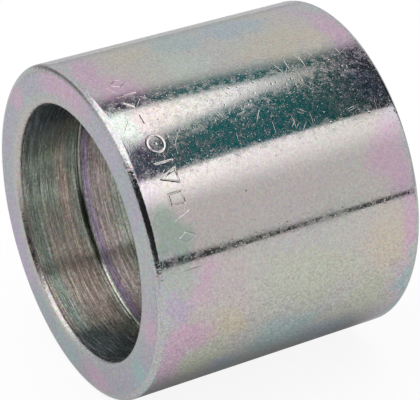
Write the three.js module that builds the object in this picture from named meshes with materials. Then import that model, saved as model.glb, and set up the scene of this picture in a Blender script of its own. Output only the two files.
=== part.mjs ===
// Rigid sleeve coupling: one turned steel sleeve with a plain through bore, lying on its side.
// Millimetres, +Z up. The bore runs along X and the origin is at its middle; the mouths face -X and +X.
import * as THREE from "three";

// Driving dimensions
const OUTER_RADIUS = 17;
const LENGTH = 29.1;
const BORE_RADIUS = 13;
const OUTER_EDGE_ROUNDING = 0.5;
const MOUTH_CHAMFER = 0.45;
const GROOVE_TO_MOUTH = 6.6; // from a mouth face to the near wall of the groove behind it
const GROOVE_WIDTH = 0.85;
const GROOVE_DEPTH = 0.9;

const FACETS = 64; // round the axis, a multiple of four, so that a flat one lies on the floor
const ROUNDING_STEPS = 3;

const platedSteel = new THREE.MeshStandardMaterial({
  color: 0xb3b1b5,
  roughness: 0.28,
  metalness: 0.9,
});

// Points of a quarter arc from angle `start`, counted anticlockwise from the radial direction.
function quarterArc(centreRadius, centreAlong, start) {
  const points = [];
  for (let step = 0; step <= ROUNDING_STEPS; step += 1) {
    const angle = start + ((Math.PI / 2) * step) / ROUNDING_STEPS;
    points.push(
      new THREE.Vector2(
        centreRadius + OUTER_EDGE_ROUNDING * Math.cos(angle),
        centreAlong + OUTER_EDGE_ROUNDING * Math.sin(angle),
      ),
    );
  }
  return points;
}

// Half of the wall's outline as (radius, distance along the axis), from the middle of the bore
// round the groove, the mouth's chamfer and the flat end face to the middle of the outer wall.
function halfOutline(side) {
  const face = LENGTH / 2;
  const grooveNear = face - GROOVE_TO_MOUTH;
  const grooveFar = grooveNear - GROOVE_WIDTH;
  const roundingCentre = face - OUTER_EDGE_ROUNDING;
  const rounding = quarterArc(
    OUTER_RADIUS - OUTER_EDGE_ROUNDING,
    roundingCentre,
    0,
  ).reverse();
  const points = [
    new THREE.Vector2(BORE_RADIUS, grooveFar),
    new THREE.Vector2(BORE_RADIUS + GROOVE_DEPTH, grooveFar),
    new THREE.Vector2(BORE_RADIUS + GROOVE_DEPTH, grooveNear),
    new THREE.Vector2(BORE_RADIUS, grooveNear),
    new THREE.Vector2(BORE_RADIUS, face - MOUTH_CHAMFER),
    new THREE.Vector2(BORE_RADIUS + MOUTH_CHAMFER, face),
    ...rounding,
  ];
  return points.map((point) => new THREE.Vector2(point.x, side * point.y));
}

// The whole outline, closed on itself.
function wallOutline() {
  const outline = [...halfOutline(-1), ...halfOutline(1).reverse()];
  return [...outline, outline[0].clone()];
}

function makeSleeve() {
  const flatDown = Math.PI / FACETS;
  const geometry = new THREE.LatheGeometry(
    wallOutline(),
    FACETS,
    flatDown,
    2 * Math.PI,
  );
  geometry.rotateZ(-Math.PI / 2); // from three.js's lathe axis, Y, to X
  const sleeve = new THREE.Mesh(geometry, platedSteel);
  sleeve.name = "coupling_sleeve";
  return sleeve;
}

const coupling = new THREE.Group();
coupling.add(makeSleeve());

export default coupling;
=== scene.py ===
import math

import bpy
import numpy as np
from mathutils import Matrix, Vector


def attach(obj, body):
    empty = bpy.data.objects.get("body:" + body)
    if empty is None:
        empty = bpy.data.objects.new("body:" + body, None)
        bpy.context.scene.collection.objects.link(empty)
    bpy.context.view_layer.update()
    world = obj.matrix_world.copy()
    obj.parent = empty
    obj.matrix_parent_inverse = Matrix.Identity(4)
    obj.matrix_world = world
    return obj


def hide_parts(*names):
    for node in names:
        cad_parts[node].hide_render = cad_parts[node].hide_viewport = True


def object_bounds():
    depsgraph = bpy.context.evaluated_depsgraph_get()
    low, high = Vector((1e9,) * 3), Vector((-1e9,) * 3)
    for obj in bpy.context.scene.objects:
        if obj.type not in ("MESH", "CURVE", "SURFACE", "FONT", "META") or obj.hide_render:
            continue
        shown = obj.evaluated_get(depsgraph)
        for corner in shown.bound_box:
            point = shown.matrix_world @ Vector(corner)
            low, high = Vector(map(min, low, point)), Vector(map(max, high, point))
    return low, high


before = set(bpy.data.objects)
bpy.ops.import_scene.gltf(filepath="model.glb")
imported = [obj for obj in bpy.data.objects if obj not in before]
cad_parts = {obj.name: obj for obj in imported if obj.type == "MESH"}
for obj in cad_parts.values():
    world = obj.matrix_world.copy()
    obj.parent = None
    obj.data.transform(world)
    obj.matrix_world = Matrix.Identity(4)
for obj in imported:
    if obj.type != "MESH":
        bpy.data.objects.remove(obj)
cad_low, cad_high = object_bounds()

# The sleeve lies along X. Lengths are in metres; a share is of the outer radius.
MM = 0.001
CENTRE = (cad_low + cad_high) / 2
LENGTH = cad_high.x - cad_low.x
OUTER = (cad_high.z - cad_low.z) / 2
BORE = 0.765 * OUTER
HALF = LENGTH / 2

EDGE_ALONG = 0.030 * OUTER  # size of the worn outer edge along the wall
EDGE_ACROSS = 0.045 * OUTER  # and across the end face
MOUTH_ALONG = 0.034 * OUTER  # size of the rounded edge of the bore along it
MOUTH_ACROSS = 0.030 * OUTER  # and across the end face
SOFTENING = 0.06 * MM  # distance of the extra points that keep flat strips flat beside an edge
GROOVE_START = 0.387 * OUTER  # from a mouth face to the near wall of the groove
GROOVE_END = 0.428 * OUTER
GROOVE_DEPTH = 0.024 * OUTER
GROOVE_ROUNDING = 0.018 * OUTER  # radius of its far edge
RIDGES = (0.548 * OUTER, 0.578 * OUTER, 0.608 * OUTER)  # low turning ridges, from a mouth face
RIDGES_FROM, RIDGES_TO = 0.52 * OUTER, 0.66 * OUTER  # the stretch of the bore with rings for them
RIDGE_WIDTH = 0.006 * OUTER
RIDGE_HEIGHT = 0.0012 * OUTER
RIDGE_RINGS, PLAIN_RINGS = 32, 4
BORE_EDGE_STEPS, OUTER_EDGE_STEPS = 10, 12
WALL_RINGS = 20
FACE_MARGIN = 0.10 * MM  # from a rounded edge to the first point of the flat face
WALL_MARGIN = 0.15 * MM  # and of the plain wall

# The stamped band on the outer wall. Angles are from the top of the sleeve towards the front.
BAND_START = 0.130 * OUTER  # from the mouth face
BAND_END = 0.300 * OUTER
BAND_MIDDLE = 0.213 * OUTER
STAMP_HEIGHT = 0.108 * OUTER
STROKE = 0.095 * MM  # half the width of a stamped stroke
STAMP_DEPTH = 0.070 * MM
BAND_ROWS = 54
STEPS_ROUND = 240  # columns round the sleeve where it is plain
FINE_PER_STEP = 9  # columns in one such step where it is stamped
FINE_FROM, FINE_TO = math.radians(-15), math.radians(105)
SAME = 1e-9  # lengths closer than this are equal


# ---------------------------------------------------------------- camera

CAMERA_AWAY = Vector((-5.7344, -9.8937, 6.6647)) * OUTER
CAMERA_LOOKS = Vector((0.43492, 0.74568, -0.50476))
LENS, SENSOR = 192.0, 36.0  # in mm
NEAREST, FARTHEST = 0.01, 10.0


def add_camera():
    data = bpy.data.cameras.new("camera")
    data.lens = LENS
    data.sensor_width = SENSOR
    data.clip_start = NEAREST
    data.clip_end = FARTHEST
    camera = bpy.data.objects.new("camera", data)
    camera.location = CENTRE + CAMERA_AWAY
    camera.rotation_euler = CAMERA_LOOKS.to_track_quat("-Z", "Y").to_euler()
    bpy.context.scene.collection.objects.link(camera)
    bpy.context.scene.camera = camera


# ---------------------------------------------------------------- stamped band

def to_segment(u, v, a, b):
    """Distance of the points (u, v) from the segment a-b."""
    du, dv = b[0] - a[0], b[1] - a[1]
    along = np.clip(((u - a[0]) * du + (v - a[1]) * dv) / (du * du + dv * dv), 0, 1)
    return np.hypot(u - a[0] - along * du, v - a[1] - along * dv)


def to_path(u, v, points):
    return np.min([to_segment(u, v, a, b) for a, b in zip(points, points[1:])], axis=0)


def to_ring(u, v, wide, high):
    """Roughly the distance from an ellipse of those half sizes."""
    return np.abs(np.hypot(u / wide, v / high) - 1) * min(wide, high)


# Plain shapes, in halves of the stamp's height: u runs round the sleeve and v along it.
DIAMOND = [(0, -1), (0.6, 0), (0, 1), (-0.6, 0), (0, -1)]
TRIANGLE = [(-0.75, 0.9), (0, -0.95), (0.75, 0.9), (-0.75, 0.9)]
SQUARE = [(-0.6, -0.75), (0.6, -0.75), (0.6, 0.75), (-0.6, 0.75), (-0.6, -0.75)]
BAR = [(0, -1), (0, 1)]
SLANT = [(-0.35, 0.9), (0.35, -0.9)]
CHEVRON = [(-0.55, -0.9), (0.35, 0), (-0.55, 0.9)]
DASH = [(-0.5, 0), (0.5, 0)]
RING_WIDE, RING_HIGH, RING_DOT = 0.95, 0.9, 0.8  # half sizes of the ring and share of its dot
DOT_PLACE = 0.5  # the two dots lie this far from the middle

# (degrees from the top, shape, share of the full depth)
STAMPS = [
    (3, "dots", 0.5),
    (9, DIAMOND, 0.9),
    (15, BAR, 0.8),
    (20, CHEVRON, 0.6),
    (26, DASH, 0.5),
    (35.5, "ring", 1.0),
    (42, BAR, 1.0),
    (47, TRIANGLE, 1.0),
    (54, SQUARE, 0.9),
    (59.5, SLANT, 0.5),
    (66.5, DIAMOND, 0.8),
    (76.5, BAR, 0.8),
    (83, "dots", 0.7),
    (95, "ring", 0.5),
]


def stamp_wear(angle, along):
    """Uneven wear of the stamps, as a share of their depth that is left."""
    u, v = angle * OUTER / MM, along / MM
    waves = np.sin(1.9 * u + 2.7 * v) + np.sin(4.3 * u - 3.1 * v + 1.0) + np.sin(0.7 * u + 2.0)
    return np.clip(0.62 + 0.18 * waves, 0.1, 1)


def stamp_depth(angle, along):
    """How deep the stamped marks are at each (angle, distance from the mouth face)."""
    size = STAMP_HEIGHT / 2
    depth = np.zeros_like(angle)
    v = (along - BAND_MIDDLE) / size
    for degrees, shape, share in STAMPS:
        u = (angle - math.radians(degrees)) * OUTER / size
        if shape == "ring":
            away = np.minimum(to_ring(u, v, RING_WIDE, RING_HIGH), np.hypot(u, v) * RING_DOT)
        elif shape == "dots":
            away = np.minimum(np.hypot(u, v - DOT_PLACE), np.hypot(u, v + DOT_PLACE))
        else:
            away = to_path(u, v, shape)
        cut = np.clip(1 - away * size / STROKE, 0, 1)
        depth = np.maximum(depth, share * cut * cut * (3 - 2 * cut))
    return depth * STAMP_DEPTH * stamp_wear(angle, along)


# ---------------------------------------------------------------- sleeve mesh

def quarter(centre, sizes, turns, steps):
    """(x, r) points on a quarter of an ellipse of those half sizes, between two quarter turns."""
    angles = np.linspace(*turns, steps + 1) * math.pi / 2
    return [
        (centre[0] + sizes[0] * math.cos(t), centre[1] + sizes[1] * math.sin(t)) for t in angles
    ]


def held(points, near):
    """Joins corner points with lines, with a point close to each end that keeps shading flat."""
    joined = []
    for a, b in zip(points, points[1:]):
        length = math.hypot(b[0] - a[0], b[1] - a[1])
        share = min(near / length, 0.3)
        joined.append(a)
        for s in (share, 1 - share):
            joined.append((a[0] + s * (b[0] - a[0]), a[1] + s * (b[1] - a[1])))
    return joined + [points[-1]]


def turning_ridge(x, centre):
    """A low round ridge left by the tool, as a change of radius at x."""
    return -RIDGE_HEIGHT * math.exp(-(((x - centre) / RIDGE_WIDTH) ** 2))


def bore_half(side):
    """Bore wall from the middle to the mouth on one side, as (x, r) points."""
    soft = SOFTENING
    near, far = HALF - GROOVE_START, HALF - GROOVE_END
    floor = BORE + GROOVE_DEPTH
    ridged_from, ridged_to = HALF - RIDGES_TO, HALF - RIDGES_FROM
    places = np.concatenate([
        np.linspace(0, ridged_from, PLAIN_RINGS)[:-1],
        np.linspace(ridged_from, ridged_to, RIDGE_RINGS),
        np.linspace(ridged_to, far - soft, PLAIN_RINGS)[1:],
    ])
    inner = [(x, BORE + sum(turning_ridge(x, HALF - ridge) for ridge in RIDGES)) for x in places]
    far_edge = quarter(
        (far, BORE + GROOVE_ROUNDING), (GROOVE_ROUNDING,) * 2, (-1, 0), BORE_EDGE_STEPS
    )
    groove = held(
        [
            (far + GROOVE_ROUNDING, floor - soft),
            (far + GROOVE_ROUNDING + soft, floor),
            (near - soft, floor),
            (near, floor - soft),
            (near, BORE + soft),
        ],
        soft,
    )
    front = held([(near + soft, BORE), (HALF - MOUTH_ALONG - 0.5 * soft, BORE)], 2 * soft)
    return [(side * x, r) for x, r in inner + far_edge + groove + front]


def mouth(side):
    """Rounded inner edge, flat face and rounded outer edge on one side, as (x, r) points."""
    inner_edge = quarter(
        (HALF - MOUTH_ALONG, BORE + MOUTH_ACROSS),
        (MOUTH_ALONG, MOUTH_ACROSS),
        (-1, 0),
        BORE_EDGE_STEPS,
    )
    face = [
        (HALF, BORE + MOUTH_ACROSS + FACE_MARGIN),
        (HALF, OUTER - EDGE_ACROSS - FACE_MARGIN),
    ]
    outer_edge = quarter(
        (HALF - EDGE_ALONG, OUTER - EDGE_ACROSS), (EDGE_ALONG, EDGE_ACROSS), (0, 1), OUTER_EDGE_STEPS
    )
    return [(side * x, r) for x, r in inner_edge + face + outer_edge]


def outer_wall():
    """Outer wall between the two roundings, from +X to -X, as (x, r) points."""
    end = HALF - EDGE_ALONG - WALL_MARGIN
    band = np.linspace(-HALF + BAND_END, -HALF + BAND_START, BAND_ROWS)
    plain = np.linspace(end, -HALF + BAND_END, WALL_RINGS)[:-1]
    return [(x, OUTER) for x in (*plain, *band, -end)]


def profile():
    """The whole outline as (x, r) points with the material slot of the strip after each."""
    bore, ends, wall = 0, 1, 2
    right, left = bore_half(1), bore_half(-1)[1:]
    out = [(p, bore) for p in right] + [(p, ends) for p in mouth(1)]
    out += [(p, wall) for p in outer_wall()]
    out += [(p, ends) for p in reversed(mouth(-1))]
    return out + [(p, bore) for p in reversed(left)]


def plain_columns():
    return FINE_FROM + np.arange(STEPS_ROUND) * 2 * math.pi / STEPS_ROUND


def stamped_columns():
    """The plain columns, with more between them where the sleeve is stamped."""
    step = 2 * math.pi / STEPS_ROUND
    columns = []
    for angle in plain_columns():
        parts = FINE_PER_STEP if angle < FINE_TO - 0.5 * step else 1
        columns += [angle + step * k / parts for k in range(parts)]
    return np.array(columns)


def ring(x, radius, stamped):
    """Points of one ring; a stamped ring has more columns and is pressed in by the marks."""
    angle = stamped_columns() if stamped else plain_columns()
    r = np.full_like(angle, radius)
    if stamped:
        r -= stamp_depth(angle, np.full_like(angle, x + HALF))
    return angle, np.stack([np.full_like(angle, x), -r * np.sin(angle), r * np.cos(angle)], axis=-1)


def joined(first, second, first_angles, second_angles):
    """Faces between two rings of point numbers: quads, or a zip of triangles where they differ."""
    a, b = len(first), len(second)
    if a == b:
        return [
            (first[k], second[k], second[(k + 1) % b], first[(k + 1) % a]) for k in range(a)
        ]
    one = np.append(first_angles, first_angles[0] + 2 * math.pi)
    two = np.append(second_angles, second_angles[0] + 2 * math.pi)
    faces, i, j = [], 0, 0
    while i < a or j < b:
        if j == b or (i < a and one[i + 1] <= two[j + 1]):
            faces.append((first[i], second[j % b], first[(i + 1) % a]))
            i += 1
        else:
            faces.append((first[i % a], second[j], second[(j + 1) % b]))
            j += 1
    return faces


def sleeve_mesh():
    rings, points = [], []
    for (x, radius), slot in profile():
        stamped = radius > OUTER - SAME and BAND_START - SAME < x + HALF < BAND_END + SAME
        angles, places = ring(x, radius, stamped)
        rings.append((np.arange(len(places)) + len(points), angles, slot))
        points += places.tolist()
    faces, slots = [], []
    following = rings[1:] + rings[:1]
    for (first, first_angles, slot), (second, second_angles, _) in zip(rings, following):
        strip = joined(first.tolist(), second.tolist(), first_angles, second_angles)
        faces += strip
        slots += [slot] * len(strip)
    mesh = bpy.data.meshes.new("coupling_sleeve_finished")
    mesh.from_pydata(points, [], faces)
    mesh.polygons.foreach_set("material_index", np.array(slots, np.int32))
    mesh.polygons.foreach_set("use_smooth", np.ones(len(faces), bool))
    mesh.update()
    return mesh


# ---------------------------------------------------------------- shader nodes

class Nodes:
    """Short calls for making and joining the nodes of one tree."""

    def __init__(self, tree):
        self.tree = tree
        tree.nodes.clear()

    def add(self, kind, inputs=(), **settings):
        node = self.tree.nodes.new(kind)
        for name, value in settings.items():
            setattr(node, name, value)
        for key, value in dict(inputs).items():
            self.give(node.inputs[key], value)
        return node

    def give(self, socket, value):
        if isinstance(value, bpy.types.NodeSocket):
            self.tree.links.new(value, socket)
        else:
            socket.default_value = value

    def math(self, operation, a, b=0.0):
        return self.add("ShaderNodeMath", {0: a, 1: b}, operation=operation).outputs[0]

    def vector(self, operation, *values, output="Vector"):
        inputs = dict(enumerate(values))
        return self.add("ShaderNodeVectorMath", inputs, operation=operation).outputs[output]

    def parts(self, where):
        return self.add("ShaderNodeSeparateXYZ", {0: where}).outputs

    def flat(self, u, v):
        return self.add("ShaderNodeCombineXYZ", {0: u, 1: v}).outputs[0]

    def chances(self, colour):
        """The three channels of a colour, as independent numbers from 0 to 1."""
        return self.add("ShaderNodeSeparateColor", {0: colour}).outputs

    def minus(self, a, b):
        return self.math("SUBTRACT", a, b)

    def highest(self, a, b):
        return self.math("MAXIMUM", a, b)

    def total(self, *values):
        result = values[0]
        for value in values[1:]:
            result = self.math("ADD", result, value)
        return result

    def times(self, *values):
        result = values[0]
        for value in values[1:]:
            result = self.math("MULTIPLY", result, value)
        return result

    def remap(self, value, low, high, to_low=0.0, to_high=1.0, kind="SMOOTHSTEP"):
        node = self.add(
            "ShaderNodeMapRange",
            {0: value, 1: low, 2: high, 3: to_low, 4: to_high},
            interpolation_type=kind,
        )
        return node.outputs[0]

    def between(self, value, low, high, soft_low, soft_high):
        """1 between low and high, 0 outside."""
        rise = self.remap(value, low - soft_low, low + soft_low)
        fall = self.remap(value, high - soft_high, high + soft_high, 1.0, 0.0)
        return self.times(rise, fall)

    def mix(self, share, a, b):
        node = self.add("ShaderNodeMix", data_type="RGBA")
        factor, first, second = node.inputs[0], node.inputs[6], node.inputs[7]
        self.give(factor, share)
        self.give(first, a)
        self.give(second, b)
        return node.outputs[2]

    def scaled(self, where, factors, move=(0.0, 0.0, 0.0)):
        return self.add("ShaderNodeMapping", {0: where, 1: move, 3: factors}).outputs[0]

    def noise(self, where, scale, detail=2.0, roughness=0.5, distortion=0.0, output=0):
        """Noise round 0.5; the scale is in cells per metre, and output 1 is its colour."""
        node = self.add(
            "ShaderNodeTexNoise",
            {
                "Vector": where,
                "Scale": scale,
                "Detail": detail,
                "Roughness": roughness,
                "Distortion": distortion,
            },
        )
        return node.outputs[output]

    def ramp(self, value, stops):
        node = self.add("ShaderNodeValToRGB", {0: value})
        elements = node.color_ramp.elements
        while len(elements) < len(stops):
            elements.new(0.5)
        for element, (position, colour) in zip(elements, stops):
            element.position = position
            element.color = (*colour, 1)
        return node.outputs[0]

    def finish(self, shader, kind="ShaderNodeOutputMaterial"):
        self.tree.links.new(shader.outputs[0], self.add(kind).inputs[0])


def new_material(name):
    material = bpy.data.materials.new(name)
    material.use_nodes = True
    return material, Nodes(material.node_tree)


def grey(level):
    return (level, level, level, 1)


# ---------------------------------------------------------------- light

# Angles in the light tent go round the X axis, from straight up towards the front, in degrees, and
# directions have a length of 1.
WALL_BACK, WALL_TOP, WALL_FRONT = 0.60, 0.965, 0.92
WALL_CORNER = -0.30  # added where the back wall meets the floor
CORNER_RISE, BACK_RISE, FRONT_FALL = (-114, -97), (-101, -82), (-20, 20)  # ranges of angles
SOFTBOX_RISE, SOFTBOX_END = (26, 33), (37, 60)
# Below, each is (x from, x to, value there, value there).
SOFTBOX_NEAR = (0.40, 0.46, 1.40, 0.84)
SOFTBOX_FAR = (0.46, 0.515, 0.0, -0.36)
TOWARDS_MOUTH = (-0.9, 0.1, 1.0, 0.0)
PANELS_START = (0.409, 0.493, -30.0, -21.0)
PANELS_END = (0.407, 0.46, 36.2, 32.3)
STRIP_START = (0.250, 0.496, -27.0, -10.5)
STRIP_END = (0.300, 0.496, 25.0, -8.0)
STRIP_END_SOFT = (0.41, 0.46, 10.0, 4.0)
GAP_START = (0.41, 0.45, 87.9, 90.4)
GAP_START_FAR = (0.45, 0.52, 0.0, 0.9)
PANELS_SHIFT, STRIP_SHIFT = -25.0, -20.0  # of their starts, far past the mouth
STRIP_LIGHT = (2.15, 2.04, 2.05, 1)
OPENING = (0.030, 0.030, 0.032, 1)
GAP = (0.045, 0.06, 0.062, 1)  # the dark gap at the horizon in front
X_FROM, X_TO = 0.40, 0.52  # range of the directions that the wall shows to the camera
PANEL_TINTS = [  # along X
    (0.400, (0.10, 0.070, 0.115)),
    (0.408, (0.125, 0.035, 0.115)),
    (0.416, (0.12, 0.040, 0.115)),
    (0.423, (0.010, 0.190, 0.21)),
    (0.470, (0.004, 0.170, 0.19)),
    (0.494, (0.002, 0.130, 0.145)),
    (0.502, (0.035, 0.035, 0.040)),
    (0.512, (0.045, 0.040, 0.050)),
]
STRIP_FADE = [  # along X, as a share of the strip's light
    (0.400, (1.0,) * 3),
    (0.425, (0.98,) * 3),
    (0.452, (0.90,) * 3),
    (0.474, (0.52,) * 3),
    (0.486, (0.07,) * 3),
    (0.498, (0.0,) * 3),
]
PAST_MOUTH_DARK = (0.278, 0.803, 0.509)  # directions against this one are dark past the mouth
DARK_BEHIND = 0.90  # so are low ones that go back by more than this share of their way left
LOW_END_BEHIND = 0.78  # those that go back by less than this meet the strip's far end
LOW_BAND = 0.65  # how dark the low ones are at the horizon


def along_x(n, x, stops):
    return n.ramp(n.remap(x, X_FROM, X_TO, kind="LINEAR"), [
        ((place - X_FROM) / (X_TO - X_FROM), colour) for place, colour in stops
    ])


def sloping(n, x, limits):
    return n.remap(x, *limits, "LINEAR")


def past(n, value, limit, soft):
    """0 to 1 as value passes limit, within soft on both sides."""
    return n.remap(n.minus(value, limit), -soft, soft)


def tent_walls(n, x, angle):
    """Pale walls and ceiling, with a softbox in front."""
    walls = n.total(
        n.remap(angle, *BACK_RISE, WALL_BACK, WALL_TOP),
        n.remap(angle, *CORNER_RISE, WALL_CORNER, 0.0),
        n.remap(angle, *FRONT_FALL, 0.0, WALL_FRONT - WALL_TOP),
    )
    peak = n.total(sloping(n, x, SOFTBOX_NEAR), sloping(n, x, SOFTBOX_FAR))
    softbox = n.times(
        peak, n.remap(angle, *SOFTBOX_END, 1.0, 0.0), n.remap(angle, *SOFTBOX_RISE)
    )
    return n.total(walls, softbox)


def dark_panels(n, light, x, angle, towards_mouth):
    """Two dark panels overhead, which are one where the strip between them has ended."""
    first = n.total(sloping(n, x, PANELS_START), n.times(towards_mouth, PANELS_SHIFT))
    last = sloping(n, x, PANELS_END)
    share = n.times(
        past(n, angle, first, 7), n.remap(n.minus(angle, last), -0.7, 0.7, 1.0, 0.0)
    )
    return n.mix(share, light, along_x(n, x, PANEL_TINTS))


def overhead_strip(n, light, x, angle, towards_mouth):
    """The bright strip between the panels, which narrows and fades away from the mouth."""
    first = n.total(sloping(n, x, STRIP_START), n.times(towards_mouth, STRIP_SHIFT))
    last = sloping(n, x, STRIP_END)
    share = n.times(
        past(n, angle, first, 2.0),
        n.remap(n.minus(angle, last), -3.0, sloping(n, x, STRIP_END_SOFT), 1.0, 0.0),
        along_x(n, x, STRIP_FADE),
    )
    return n.mix(share, light, STRIP_LIGHT)


def strip_low_end(n, light, x, y, z, angle):
    """The strip's far end, which comes down low past the mouth."""
    share = n.times(
        n.remap(x, -0.2, 0.1, 1.0, 0.0),
        n.remap(n.total(y, n.times(x, LOW_END_BEHIND)), -0.05, 0.0, 1.0, 0.0),
        n.remap(z, 0.10, 0.18),
        n.remap(angle, 24, 30, 1.0, 0.0),
    )
    return n.mix(share, light, STRIP_LIGHT)


def dark_side(n, light, direction, x, y, z):
    """The dark side of the room, seen only by edges that face the mouth end."""
    against = n.vector("DOT_PRODUCT", direction, PAST_MOUTH_DARK, output="Value")
    behind = n.remap(n.total(y, n.times(x, DARK_BEHIND)), -0.06, 0.06)
    low_band = n.times(n.remap(z, 0.0, 0.14, LOW_BAND, 0.0), behind)
    share = n.times(
        n.highest(n.remap(against, -0.04, 0.02, 1.0, 0.0), low_band),
        n.remap(x, -0.12, 0.02, 1.0, 0.0),
    )
    return n.mix(share, light, OPENING)


def horizon_gap(n, light, x, y, angle):
    """The dark gap between the front wall and the floor."""
    first = n.total(sloping(n, x, GAP_START), sloping(n, x, GAP_START_FAR))
    share = n.times(past(n, angle, first, 0.3), n.remap(y, -0.2, -0.1, 1.0, 0.0))
    return n.mix(share, light, GAP)


def studio_light():
    """A light tent round the sleeve. To the camera its background is plain white."""
    world = bpy.data.worlds.new("studio")
    world.use_nodes = True
    bpy.context.scene.world = world
    n = Nodes(world.node_tree)
    direction = n.add("ShaderNodeTexCoord").outputs["Generated"]
    x, y, z = n.parts(direction)
    angle = n.times(n.math("ARCTAN2", n.math("MULTIPLY", y, -1.0), z), 180 / math.pi)
    towards_mouth = sloping(n, x, TOWARDS_MOUTH)
    light = tent_walls(n, x, angle)
    light = dark_panels(n, light, x, angle, towards_mouth)
    light = overhead_strip(n, light, x, angle, towards_mouth)
    light = strip_low_end(n, light, x, y, z, angle)
    light = dark_side(n, light, direction, x, y, z)
    light = horizon_gap(n, light, x, y, angle)
    seen = n.add("ShaderNodeLightPath").outputs["Is Camera Ray"]
    light = n.mix(seen, light, grey(1.0))
    n.finish(n.add("ShaderNodeBackground", {0: light, 1: 1.0}), "ShaderNodeOutputWorld")


# ---------------------------------------------------------------- floor

FLOOR_SIZE = 0.30  # half its side, in metres
FLOOR_LIT_FROM = -HALF - 3.3 * OUTER  # past the mouth the light on the floor ends here
FLOOR_BORDER_SLOPE = 0.35  # in front of the sleeve that border runs aslant
FLOOR_LIT_BEHIND = 0.45  # back there it is lit between this share of the way left and DARK_BEHIND
# Strength of the painted shadow under the sleeve and of the painted shade behind it, seen only in
# reflections.
SHADE_UNDER, SHADE_BEHIND, LIT_FAR_BACK = 0.62, 0.28, 0.3
PAINT_DARK, PAINT_PALE = 0.03, 0.80
GLOW, GLOW_SEEN = 1.44, 1.02  # strength for other rays and for the camera
GLOW_SHARE, GLOW_SHARE_SEEN = 0.25, 0.88


def floor_light(n, x, y):
    """How much of its light each place on the floor gives back, to all but the camera: painted light
    and shade in the floor's colour, with a painted shadow under the sleeve and painted shade behind
    it.
    """
    border = n.total(FLOOR_LIT_FROM, n.times(n.math("MINIMUM", y, 0.0), FLOOR_BORDER_SLOPE))
    near = past(n, x, border, 0.002)
    dark_line = n.total(y, n.times(x, DARK_BEHIND))
    behind = n.times(
        n.remap(dark_line, -0.01, 0.01, 1.0, 0.0),
        n.remap(n.total(y, n.times(x, FLOOR_LIT_BEHIND)), -0.01, 0.01),
    )
    far_back = n.remap(dark_line, -0.01, 0.01, 0.0, LIT_FAR_BACK)
    # Painted shadow on the floor under the sleeve.
    shadow_under = n.times(
        n.remap(n.math("ABSOLUTE", y), 0.41 * OUTER, 1.03 * OUTER, SHADE_UNDER, 0.0),
        n.between(x, -HALF + 0.1 * OUTER, HALF + 0.1 * OUTER, 0.1 * OUTER, 0.2 * OUTER),
    )
    # Painted shade on the floor behind the sleeve.
    back = n.times(
        n.between(y, 2.0 * OUTER, 11.0 * OUTER, OUTER, 3.0 * OUTER),
        SHADE_BEHIND,
        n.remap(x, -HALF, 0.0),
    )
    lit = n.highest(n.highest(near, behind), far_back)
    return n.times(lit, n.times(n.minus(1.0, shadow_under), n.minus(1.0, back)))


def add_floor():
    """A pale floor that glows to the camera, as a lit sweep does, so the shadow stays faint. To other
    rays it glows less, and only where its painted light lets it.
    """
    mesh = bpy.data.meshes.new("floor")
    size, z = FLOOR_SIZE, CENTRE.z - OUTER
    corners = [(-size, -size, z), (size, -size, z), (size, size, z), (-size, size, z)]
    mesh.from_pydata(corners, [], [(0, 1, 2, 3)])
    floor = bpy.data.objects.new("floor", mesh)
    bpy.context.scene.collection.objects.link(floor)
    material, n = new_material("pale_floor")
    seen = n.add("ShaderNodeLightPath").outputs["Is Camera Ray"]
    x, y, _ = n.parts(n.add("ShaderNodeTexCoord").outputs["Object"])
    lit = n.highest(floor_light(n, x, y), seen)
    # To all but the camera the floor's colour holds painted light and shade.
    paint = n.add("ShaderNodeBsdfDiffuse", {"Color": n.mix(lit, grey(PAINT_DARK), grey(PAINT_PALE))})
    strength = n.remap(seen, 0.0, 1.0, GLOW, GLOW_SEEN, "LINEAR")
    glow = n.add("ShaderNodeEmission", {"Color": grey(1.0), "Strength": strength})
    share = n.times(n.remap(seen, 0.0, 1.0, GLOW_SHARE, GLOW_SHARE_SEEN, "LINEAR"), lit)
    n.finish(n.add("ShaderNodeMixShader", {0: share, 1: paint.outputs[0], 2: glow.outputs[0]}))
    mesh.materials.append(material)


# ---------------------------------------------------------------- metal

# Colours of the passivation film, by share of the way inwards from an end.
FILM_WALL = [
    (0.00, (0.40, 0.45, 0.44)),
    (0.05, (0.43, 0.43, 0.44)),
    (0.12, (0.46, 0.41, 0.45)),
    (0.30, (0.47, 0.44, 0.42)),
    (0.50, (0.455, 0.445, 0.415)),
    (0.75, (0.44, 0.445, 0.42)),
    (1.00, (0.44, 0.44, 0.43)),
]
FILM_ENDS = [
    (0.00, (0.335, 0.405, 0.41)),
    (0.35, (0.36, 0.39, 0.42)),
    (0.50, (0.38, 0.38, 0.43)),
    (0.65, (0.40, 0.375, 0.435)),
    (1.00, (0.425, 0.365, 0.42)),
]
FILM_BORE = [
    (0.000, (0.34, 0.31, 0.30)),
    (0.046, (0.36, 0.32, 0.31)),
    (0.055, (0.56, 0.48, 0.46)),
    (0.082, (0.54, 0.48, 0.46)),
    (0.108, (0.42, 0.53, 0.47)),
    (0.160, (0.44, 0.53, 0.48)),
    (0.210, (0.52, 0.53, 0.47)),
    (0.440, (0.55, 0.52, 0.47)),
    (0.550, (0.50, 0.53, 0.46)),
    (0.604, (0.52, 0.54, 0.48)),
    # This darker stop, at the groove's far edge, is painted shade.
    (0.632, (0.44, 0.46, 0.43)),
    (0.643, (0.50, 0.40, 0.59)),
    (0.690, (0.53, 0.43, 0.58)),
    (0.715, (0.62, 0.53, 0.54)),
    (0.850, (0.60, 0.53, 0.50)),
    (0.925, (0.50, 0.54, 0.48)),
]
FILM_BORE_REACH = 0.68 * OUTER

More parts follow.
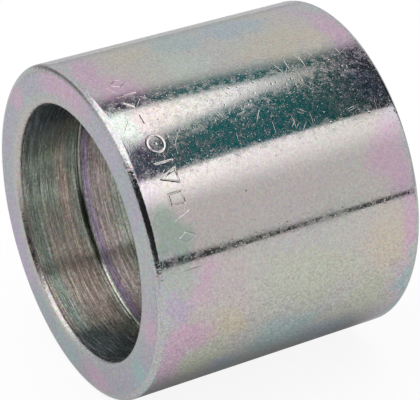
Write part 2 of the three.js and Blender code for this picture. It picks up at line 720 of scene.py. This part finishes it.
PINK = (0.51, 0.37, 0.46)
LILAC = (0.42, 0.37, 0.47)
BLUSH = (0.465, 0.425, 0.42)
GREEN = (0.30, 0.38, 0.33)
OLIVE = (0.44, 0.47, 0.37)
TEAL = (0.32, 0.44, 0.44)
BLUE = (0.36, 0.42, 0.47)
SAND = (0.49, 0.45, 0.37)
MINT = (0.44, 0.50, 0.46)
SAGE = (0.39, 0.43, 0.40)
CREAM = (0.46, 0.43, 0.41)
RIM = (0.44, 0.45, 0.43)
BROWN = (0.60, 0.48, 0.44)
MOSS = (0.46, 0.55, 0.47)
FERN = (0.38, 0.44, 0.39)
STEEL = (0.34, 0.42, 0.46)

SCRAPED = (0.62, 0.63, 0.61)
SPOT = (0.06, 0.07, 0.07)
# Colour of the painted shade in the groove.
GROOVE_SHADE = (0.20, 0.22, 0.20)
EDGE_TINT = (0.75, 0.77, 0.78, 1)  # of the reflection at a low angle

# Noise scales in cells per metre.
FLECK_SCALE, HUE_SCALE = 4200.0, 2600.0
WALL_GRAIN, WALL_SPECKS, WALL_MOTTLE, WALL_HAZE = 6500.0, 5600.0, 1500.0, 330.0
WALL_TURNED = (6500.0, 1300.0, 1300.0)
ENDS_GRAIN, ENDS_RIM_GRAIN, ENDS_MOTTLE = 4600.0, 2400.0, 1200.0
BORE_DRIFT = (500.0, 90.0, 90.0)
BORE_LINES, BORE_DASHES = (9000.0, 70.0, 70.0), (10000.0, 420.0, 420.0)
BORE_BROAD = (2600.0, 70.0, 70.0)
# Heights of the relief in the shading.
WALL_GRAIN_HEIGHT, WALL_TURNED_HEIGHT = 0.0012 * MM, 0.0020 * MM
WALL_DENT_DEPTH, SCRATCH_DEPTH = 0.007 * MM, 0.010 * MM
ENDS_GRAIN_HEIGHT, RIM_GRAIN_HEIGHT, LIP_GRAIN_HEIGHT = 0.010 * MM, 0.018 * MM, 0.020 * MM
ENDS_DENT_DEPTH = 0.010 * MM
LINES_HEIGHT, BROAD_HEIGHT, DASHES_HEIGHT = 0.026 * MM, 0.020 * MM, 0.006 * MM

# Clouds in the film of the outer wall: degrees from the top, distance from the mouth in radii,
# half width in degrees, half length in radii, colour, strength.
CLOUDS_WALL = [
    (58, 0.70, 17, 0.75, BLUSH, 0.9),
    (-3, 0.10, 13, 0.10, PINK, 0.9),
    (12, 0.22, 9, 0.15, PINK, 0.8),
    (-9, 0.42, 10, 0.16, SAND, 0.6),
    (-7, 0.72, 9, 0.16, TEAL, 0.5),
    (8, 0.65, 7, 0.14, MINT, 0.6),
    (-8, 1.10, 9, 0.20, BLUE, 0.8),
    (10, 1.25, 9, 0.35, SAND, 0.6),
    (10, 1.62, 17, 0.07, PINK, 0.8),
    (35, 1.62, 10, 0.08, LILAC, 0.8),
    (26, 0.05, 9, 0.08, MINT, 0.9),
    (66, 0.13, 13, 0.11, GREEN, 0.8),
    (79, 0.14, 6, 0.20, SAGE, 0.9),
    (89, 0.14, 6, 0.09, LILAC, 0.8),
    (83, 0.32, 10, 0.12, PINK, 0.9),
    (88, 0.45, 13, 0.18, BLUSH, 0.9),
    (114, 0.09, 13, 0.09, PINK, 0.9),
    (102, 0.20, 7, 0.16, PINK, 0.9),
    (104, 0.42, 8, 0.12, SAND, 1.0),
    (117, 0.30, 8, 0.18, OLIVE, 0.9),
    (92, 0.95, 13, 0.36, OLIVE, 0.6),
    (116, 0.85, 12, 0.30, TEAL, 0.7),
    (127, 0.52, 7, 0.10, BLUE, 0.9),
    (126, 1.18, 8, 0.22, BLUE, 0.9),
    (110, 1.40, 13, 0.20, OLIVE, 0.7),
    (88, 1.52, 13, 0.20, SAND, 0.8),
    (84, 1.64, 13, 0.07, PINK, 0.9),
    (62, 1.57, 13, 0.13, PINK, 0.8),
    (115, 1.68, 22, 0.06, TEAL, 0.8),
]
# Clouds in the bore: degrees from the bottom towards the back, then as above.
CLOUDS_BORE = [
    (-8, 0.14, 18, 0.24, STEEL, 0.9),
    (124, 0.12, 24, 0.24, STEEL, 0.9),
    (32, 0.30, 26, 0.11, BROWN, 0.7),
    (78, 0.29, 22, 0.05, BROWN, 0.9),
    (45, 0.18, 22, 0.05, BROWN, 0.4),
    (86, 0.19, 22, 0.09, MOSS, 0.8),
    (92, 0.36, 18, 0.04, MOSS, 0.8),
    (62, 0.075, 38, 0.035, FERN, 0.9),
    (90, 0.06, 28, 0.06, FERN, 0.7),
]
# Clouds on the end faces: place across (-Y) and up in radii, the two half sizes, colour, strength.
CLOUDS_ENDS = [
    (-0.15, -0.87, 0.14, 0.12, TEAL, 0.7),
    (-0.72, -0.46, 0.22, 0.36, LILAC, 0.9),
    (-0.70, 0.58, 0.13, 0.12, PINK, 0.8),
    (-0.12, 0.86, 0.34, 0.13, PINK, 0.9),
    (0.42, 0.77, 0.22, 0.14, LILAC, 0.5),
    (0.84, 0.28, 0.11, 0.34, SAGE, 0.6),
    (0.86, -0.17, 0.09, 0.10, PINK, 0.8),
    (0.74, -0.53, 0.15, 0.15, TEAL, 0.9),
    (0.24, -0.86, 0.19, 0.11, PINK, 0.8),
]


# Layers of scratches on the outer wall: turn in degrees, length and width of the cells that they lie
# in, in mm, share of the cells that hold one, and a number that shifts the layer.
SCRATCHES = [
    (4, 7.0, 0.26, 0.06, 1.3),
    (-19, 8.0, 0.24, 0.06, 4.1),
    (37, 6.0, 0.26, 0.05, 7.7),
    (-52, 5.0, 0.26, 0.04, 2.9),
    (76, 5.0, 0.24, 0.04, 5.3),
    (12, 0.8, 0.30, 0.14, 9.1),
    (-60, 0.7, 0.30, 0.12, 6.4),
    (49, 0.5, 0.35, 0.10, 3.6),
]


def clouds(n, colour, flat, places):
    """Lays soft patches of colour over colour; flat is the place on the surface as (u, v)."""
    for u, v, wide, long, tint, strength in places:
        spot = n.scaled(flat, (1 / wide, 1 / long, 1.0), (-u / wide, -v / long, 0.0))
        away = n.vector("LENGTH", spot, output="Value")
        colour = n.mix(n.remap(away, 0.45, 1.25, strength, 0.0), colour, (*tint, 1))
    return colour


def wavering(n, flat, place, scale, amounts):
    """Moves the flat place about by noise, so that patches get ragged borders."""
    noise = n.noise(place, scale, 4.0, 0.6, output=1)
    centred = n.vector("SUBTRACT", noise, (0.5, 0.5, 0.5))
    return n.vector("ADD", flat, n.scaled(centred, (*amounts, 0.0)))


def scratches(n, flat, turn, long, short, share, seed):
    """One layer of sparse lens-shaped marks on a flat place in mm."""
    turned = n.add(
        "ShaderNodeVectorRotate",
        {"Vector": flat, "Angle": math.radians(turn)},
        rotation_type="Z_AXIS",
    ).outputs[0]
    where = n.scaled(turned, (1 / long, 1 / short, 1.0), (seed, 2.7 * seed, 0.0))
    cells = n.add(
        "ShaderNodeTexVoronoi", {"Vector": where, "Scale": 1.0}, voronoi_dimensions="2D"
    ).outputs
    chance, weight, reach = n.chances(cells["Color"])
    kept = n.math("LESS_THAN", chance, share)
    size = n.remap(reach, 0.0, 1.0, 0.07, 0.17, "LINEAR")
    mark = n.remap(n.math("DIVIDE", cells["Distance"], size), 0.0, 1.0, 1.0, 0.0)
    return n.times(mark, kept, n.remap(weight, 0.0, 1.0, 0.25, 1.0, "LINEAR"))


def pits(n, place, scale, share, size):
    """Sparse round marks: share is how many cells hold one and size its radius in cells."""
    cells = n.add("ShaderNodeTexVoronoi", {"Vector": place, "Scale": scale}).outputs
    chance, weight, _ = n.chances(cells["Color"])
    kept = n.math("LESS_THAN", chance, share)
    mark = n.remap(cells["Distance"], 0.0, size, 1.0, 0.0)
    return n.times(mark, kept, weight)


def metal(n, colour, rough, height, **settings):
    bumps = n.add("ShaderNodeBump", {"Height": height, "Distance": 1.0, "Strength": 1.0}).outputs[0]
    shader = n.add(
        "ShaderNodeBsdfPrincipled",
        {
            "Base Color": colour,
            "Metallic": 1.0,
            "Roughness": rough,
            "Normal": bumps,
            "Specular Tint": EDGE_TINT,
        },
    )
    for name, value in settings.items():
        n.give(shader.inputs[name], value)
    n.finish(shader)


def flecked(n, colour, place, light, tint):
    """Fine flecks in the film: light is how far its lightness varies, tint how far its colour does."""
    centred = n.remap(n.noise(place, FLECK_SCALE, 2.0, 0.6), 0.3, 0.7, -1.0, 1.0, "LINEAR")
    lightness = n.total(1.0, n.times(centred, light))
    noise = n.noise(place, HUE_SCALE, 3.0, 0.7, output=1)
    hue = n.vector("MULTIPLY_ADD", noise, (4 * tint,) * 3, (1 - 2 * tint,) * 3)
    return n.vector("MULTIPLY", n.vector("MULTIPLY", colour, lightness), hue)


def round_the_axis(n, place):
    """Degrees from the top towards the front, and the place along X."""
    x, y, z = n.parts(place)
    angle = n.math("ARCTAN2", n.math("MULTIPLY", y, -1.0), z)
    return n.times(angle, 180 / math.pi), x


def wall_colour(n, place, degrees, x):
    """The wall's film, with its clouds and flecks."""
    from_end = n.minus(HALF, n.math("ABSOLUTE", x))
    drift = n.minus(n.noise(place, 130.0, 3.0, 0.55, 0.5), 0.5)
    share = n.total(n.times(from_end, 1 / HALF), n.times(drift, 0.7))
    colour = n.ramp(share, FILM_WALL)
    flat = n.flat(degrees, n.times(n.total(x, HALF), 1 / OUTER))
    colour = clouds(n, colour, wavering(n, flat, place, 260.0, (22.0, 0.40)), CLOUDS_WALL)
    aside = n.math("ABSOLUTE", n.minus(degrees, 45.0))
    return flecked(n, colour, place, n.remap(aside, 25, 70, 0.10, 0.27), 0.11)


def plated_wall():
    material, n = new_material("plated_wall")
    place = n.add("ShaderNodeTexCoord").outputs["Object"]
    degrees, x = round_the_axis(n, place)
    colour = wall_colour(n, place, degrees, x)

    on_wall = n.flat(n.times(degrees, math.pi / 180 * OUTER / MM), n.times(x, 1 / MM))
    on_wall = wavering(n, on_wall, place, 90.0, (1.6, 1.6))
    marks = n.total(*(scratches(n, on_wall, *layer) for layer in SCRATCHES))
    spots = pits(n, place, 700.0, 0.30, 0.11)
    colour = n.mix(n.times(marks, 0.5), colour, (*SCRAPED, 1))
    colour = n.mix(spots, colour, (*SPOT, 1))

    grain = n.noise(place, WALL_GRAIN, 3.0, 0.7)
    turned = n.noise(n.scaled(place, WALL_TURNED), 1.0, 2.0, 0.6)
    from_mouth = n.times(n.total(x, HALF), 1 / OUTER)
    near_mouth = n.remap(from_mouth, 0.03, 0.13, 3.0, 0.2)
    dents = pits(n, place, 2300.0, 0.25, 0.35)
    height = n.total(
        n.times(grain, WALL_GRAIN_HEIGHT),
        n.times(turned, near_mouth, WALL_TURNED_HEIGHT),
        n.times(dents, -WALL_DENT_DEPTH),
        n.times(marks, -SCRATCH_DEPTH),
    )
    specks = n.remap(n.noise(place, WALL_SPECKS, 2.0, 0.6), 0.54, 0.64)
    mottle = n.remap(n.noise(place, WALL_MOTTLE, 4.0, 0.7), 0.42, 0.62, 0.0, 0.10)
    haze = n.remap(n.noise(place, WALL_HAZE, 2.0, 0.5), 0.42, 0.60, 0.0, 0.03)
    rough = n.total(0.045, mottle, haze, n.times(marks, 0.34), n.times(specks, 0.11))
    bright = n.remap(n.noise(place, HUE_SCALE, 4.0, 0.7), 0.42, 0.60, 1.0, 0.945)
    metal(n, colour, rough, height, Metallic=bright)
    return material


def ends_colour(n, place, y, z, radius, rim):
    """The end faces' film, with paler rings at the bore and at the rim."""
    drift = n.remap(n.noise(place, 190.0, 5.0, 0.65, 0.8), 0.2, 0.8, kind="LINEAR")
    colour = n.ramp(drift, FILM_ENDS)
    flat = n.flat(n.times(y, -1 / OUTER), n.times(z, 1 / OUTER))
    colour = clouds(n, colour, wavering(n, flat, place, 260.0, (0.35, 0.35)), CLOUDS_ENDS)
    inner_half = n.times(
        n.remap(radius, BORE + 0.04 * OUTER, BORE + 0.11 * OUTER, 0.8, 0.0),
        n.remap(y, -0.3 * OUTER, 0.3 * OUTER, 0.4, 1.0),
    )
    colour = n.mix(inner_half, colour, (*SAGE, 1))
    by_mouth = n.times(
        n.remap(radius, BORE + 0.025 * OUTER, BORE + 0.055 * OUTER, 0.8, 0.0),
        n.remap(y, -0.1 * OUTER, 0.4 * OUTER),
    )
    colour = n.mix(by_mouth, colour, (*CREAM, 1))
    colour = n.mix(n.times(rim, 0.65), colour, (*RIM, 1))
    return flecked(n, colour, place, 0.17, 0.22)


def plated_ends():
    material, n = new_material("plated_ends")
    place = n.add("ShaderNodeTexCoord").outputs["Object"]
    _, y, z = n.parts(place)
    radius = n.math("SQRT", n.total(n.times(y, y), n.times(z, z)))
    rim = n.remap(radius, OUTER - 1.1 * EDGE_ACROSS, OUTER - 0.75 * EDGE_ACROSS)
    lip = n.remap(radius, BORE + 0.4 * MOUTH_ACROSS, BORE + 0.8 * MOUTH_ACROSS, 1.0, 0.0)
    colour = ends_colour(n, place, y, z, radius, rim)
    grain = n.noise(place, n.remap(rim, 0.0, 1.0, ENDS_GRAIN, ENDS_RIM_GRAIN), 3.0, 0.7)
    grain_height = n.total(
        ENDS_GRAIN_HEIGHT, n.times(rim, RIM_GRAIN_HEIGHT), n.times(lip, LIP_GRAIN_HEIGHT)
    )
    dents = pits(n, place, 2600.0, 0.4, 0.42)
    height = n.total(n.times(grain, grain_height), n.times(dents, -ENDS_DENT_DEPTH))
    rough = n.remap(n.noise(place, ENDS_MOTTLE, 3.0, 0.6), 0.35, 0.65, 0.12, 0.26)
    rough = n.total(rough, n.times(rim, -0.06), n.times(lip, 0.08))
    metal(n, colour, rough, height)
    return material


def groove_shade(n, depth, from_bottom):
    """Painted shade in the groove and by it, darkest at its side towards the back, with less of it on
    the far edge's glinting side.
    """
    start, end = GROOVE_START / OUTER, GROOVE_END / OUTER
    rounded = (GROOVE_END - GROOVE_ROUNDING) / OUTER
    soft = 0.003
    in_groove = n.between(depth, start, rounded, soft, soft)
    on_edge = n.between(depth, rounded, end, soft, soft)
    before = n.between(depth, start - 0.010, start, 0.020, soft)
    # Angles where the painted shade is darkest, and where the far edge keeps its glint with less
    # painted shade.
    black = n.between(from_bottom, 57, 82, 8, 10)
    bright = n.between(from_bottom, 12, 48, 6, 6)
    inside = n.total(0.10, n.times(black, 0.90))
    edge_shade = n.total(0.60, n.times(bright, -0.28), n.times(black, 0.40))
    dark = n.highest(n.times(in_groove, inside), n.times(on_edge, edge_shade))
    return n.highest(dark, n.times(before, black, 0.9))


def plated_bore():
    material, n = new_material("plated_bore")
    place = n.add("ShaderNodeTexCoord").outputs["Object"]
    x, y, z = n.parts(place)
    from_end = n.minus(HALF, n.math("ABSOLUTE", x))
    depth = n.times(from_end, 1 / OUTER)
    drift = n.minus(n.noise(n.scaled(place, BORE_DRIFT), 1.0, 3.0, 0.6), 0.5)
    share = n.total(n.times(from_end, 1 / FILM_BORE_REACH), n.times(drift, 0.04))
    colour = n.ramp(share, FILM_BORE)
    from_bottom = n.times(n.math("ARCTAN2", y, n.math("MULTIPLY", z, -1.0)), 180 / math.pi)
    flat = n.flat(from_bottom, depth)
    colour = clouds(n, colour, wavering(n, flat, place, 160.0, (36.0, 0.06)), CLOUDS_BORE)
    # Painted shade in and by the groove, mixed into the plating's colour.
    colour = n.mix(groove_shade(n, depth, from_bottom), colour, (*GROOVE_SHADE, 1))

    # Turning lines, which run round the bore.
    lines = n.noise(n.scaled(place, BORE_LINES), 1.0, 3.0, 0.7)
    dashes = n.noise(n.scaled(place, BORE_DASHES), 1.0, 2.0, 0.7)
    broad = n.noise(n.scaled(place, BORE_BROAD), 1.0, 3.0, 0.6)
    shade = n.times(
        n.remap(lines, 0.3, 0.7, 0.50, 1.50, "LINEAR"),
        n.remap(dashes, 0.3, 0.7, 0.66, 1.34, "LINEAR"),
        n.remap(broad, 0.3, 0.7, 0.80, 1.20, "LINEAR"),
    )
    colour = flecked(n, n.vector("MULTIPLY", colour, shade), place, 0.42, 0.18)
    height = n.total(
        n.times(lines, LINES_HEIGHT), n.times(broad, BROAD_HEIGHT), n.times(dashes, DASHES_HEIGHT)
    )
    rough = n.remap(dashes, 0.3, 0.7, 0.20, 0.30)
    around = n.add("ShaderNodeTangent", direction_type="RADIAL", axis="X").outputs[0]
    metal(
        n, colour, rough, height,
        **{"Anisotropic": 1.0, "Anisotropic Rotation": 0.25, "Tangent": around},
    )
    return material


def add_sleeve():
    mesh = sleeve_mesh()
    for material in (plated_bore(), plated_ends(), plated_wall()):
        mesh.materials.append(material)
    sleeve = bpy.data.objects.new("coupling_sleeve_finished", mesh)
    bpy.context.scene.collection.objects.link(sleeve)
    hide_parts("coupling_sleeve")
    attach(sleeve, "root")


bpy.context.scene.view_settings.view_transform = "Standard"
add_camera()
studio_light()
add_floor()
add_sleeve()
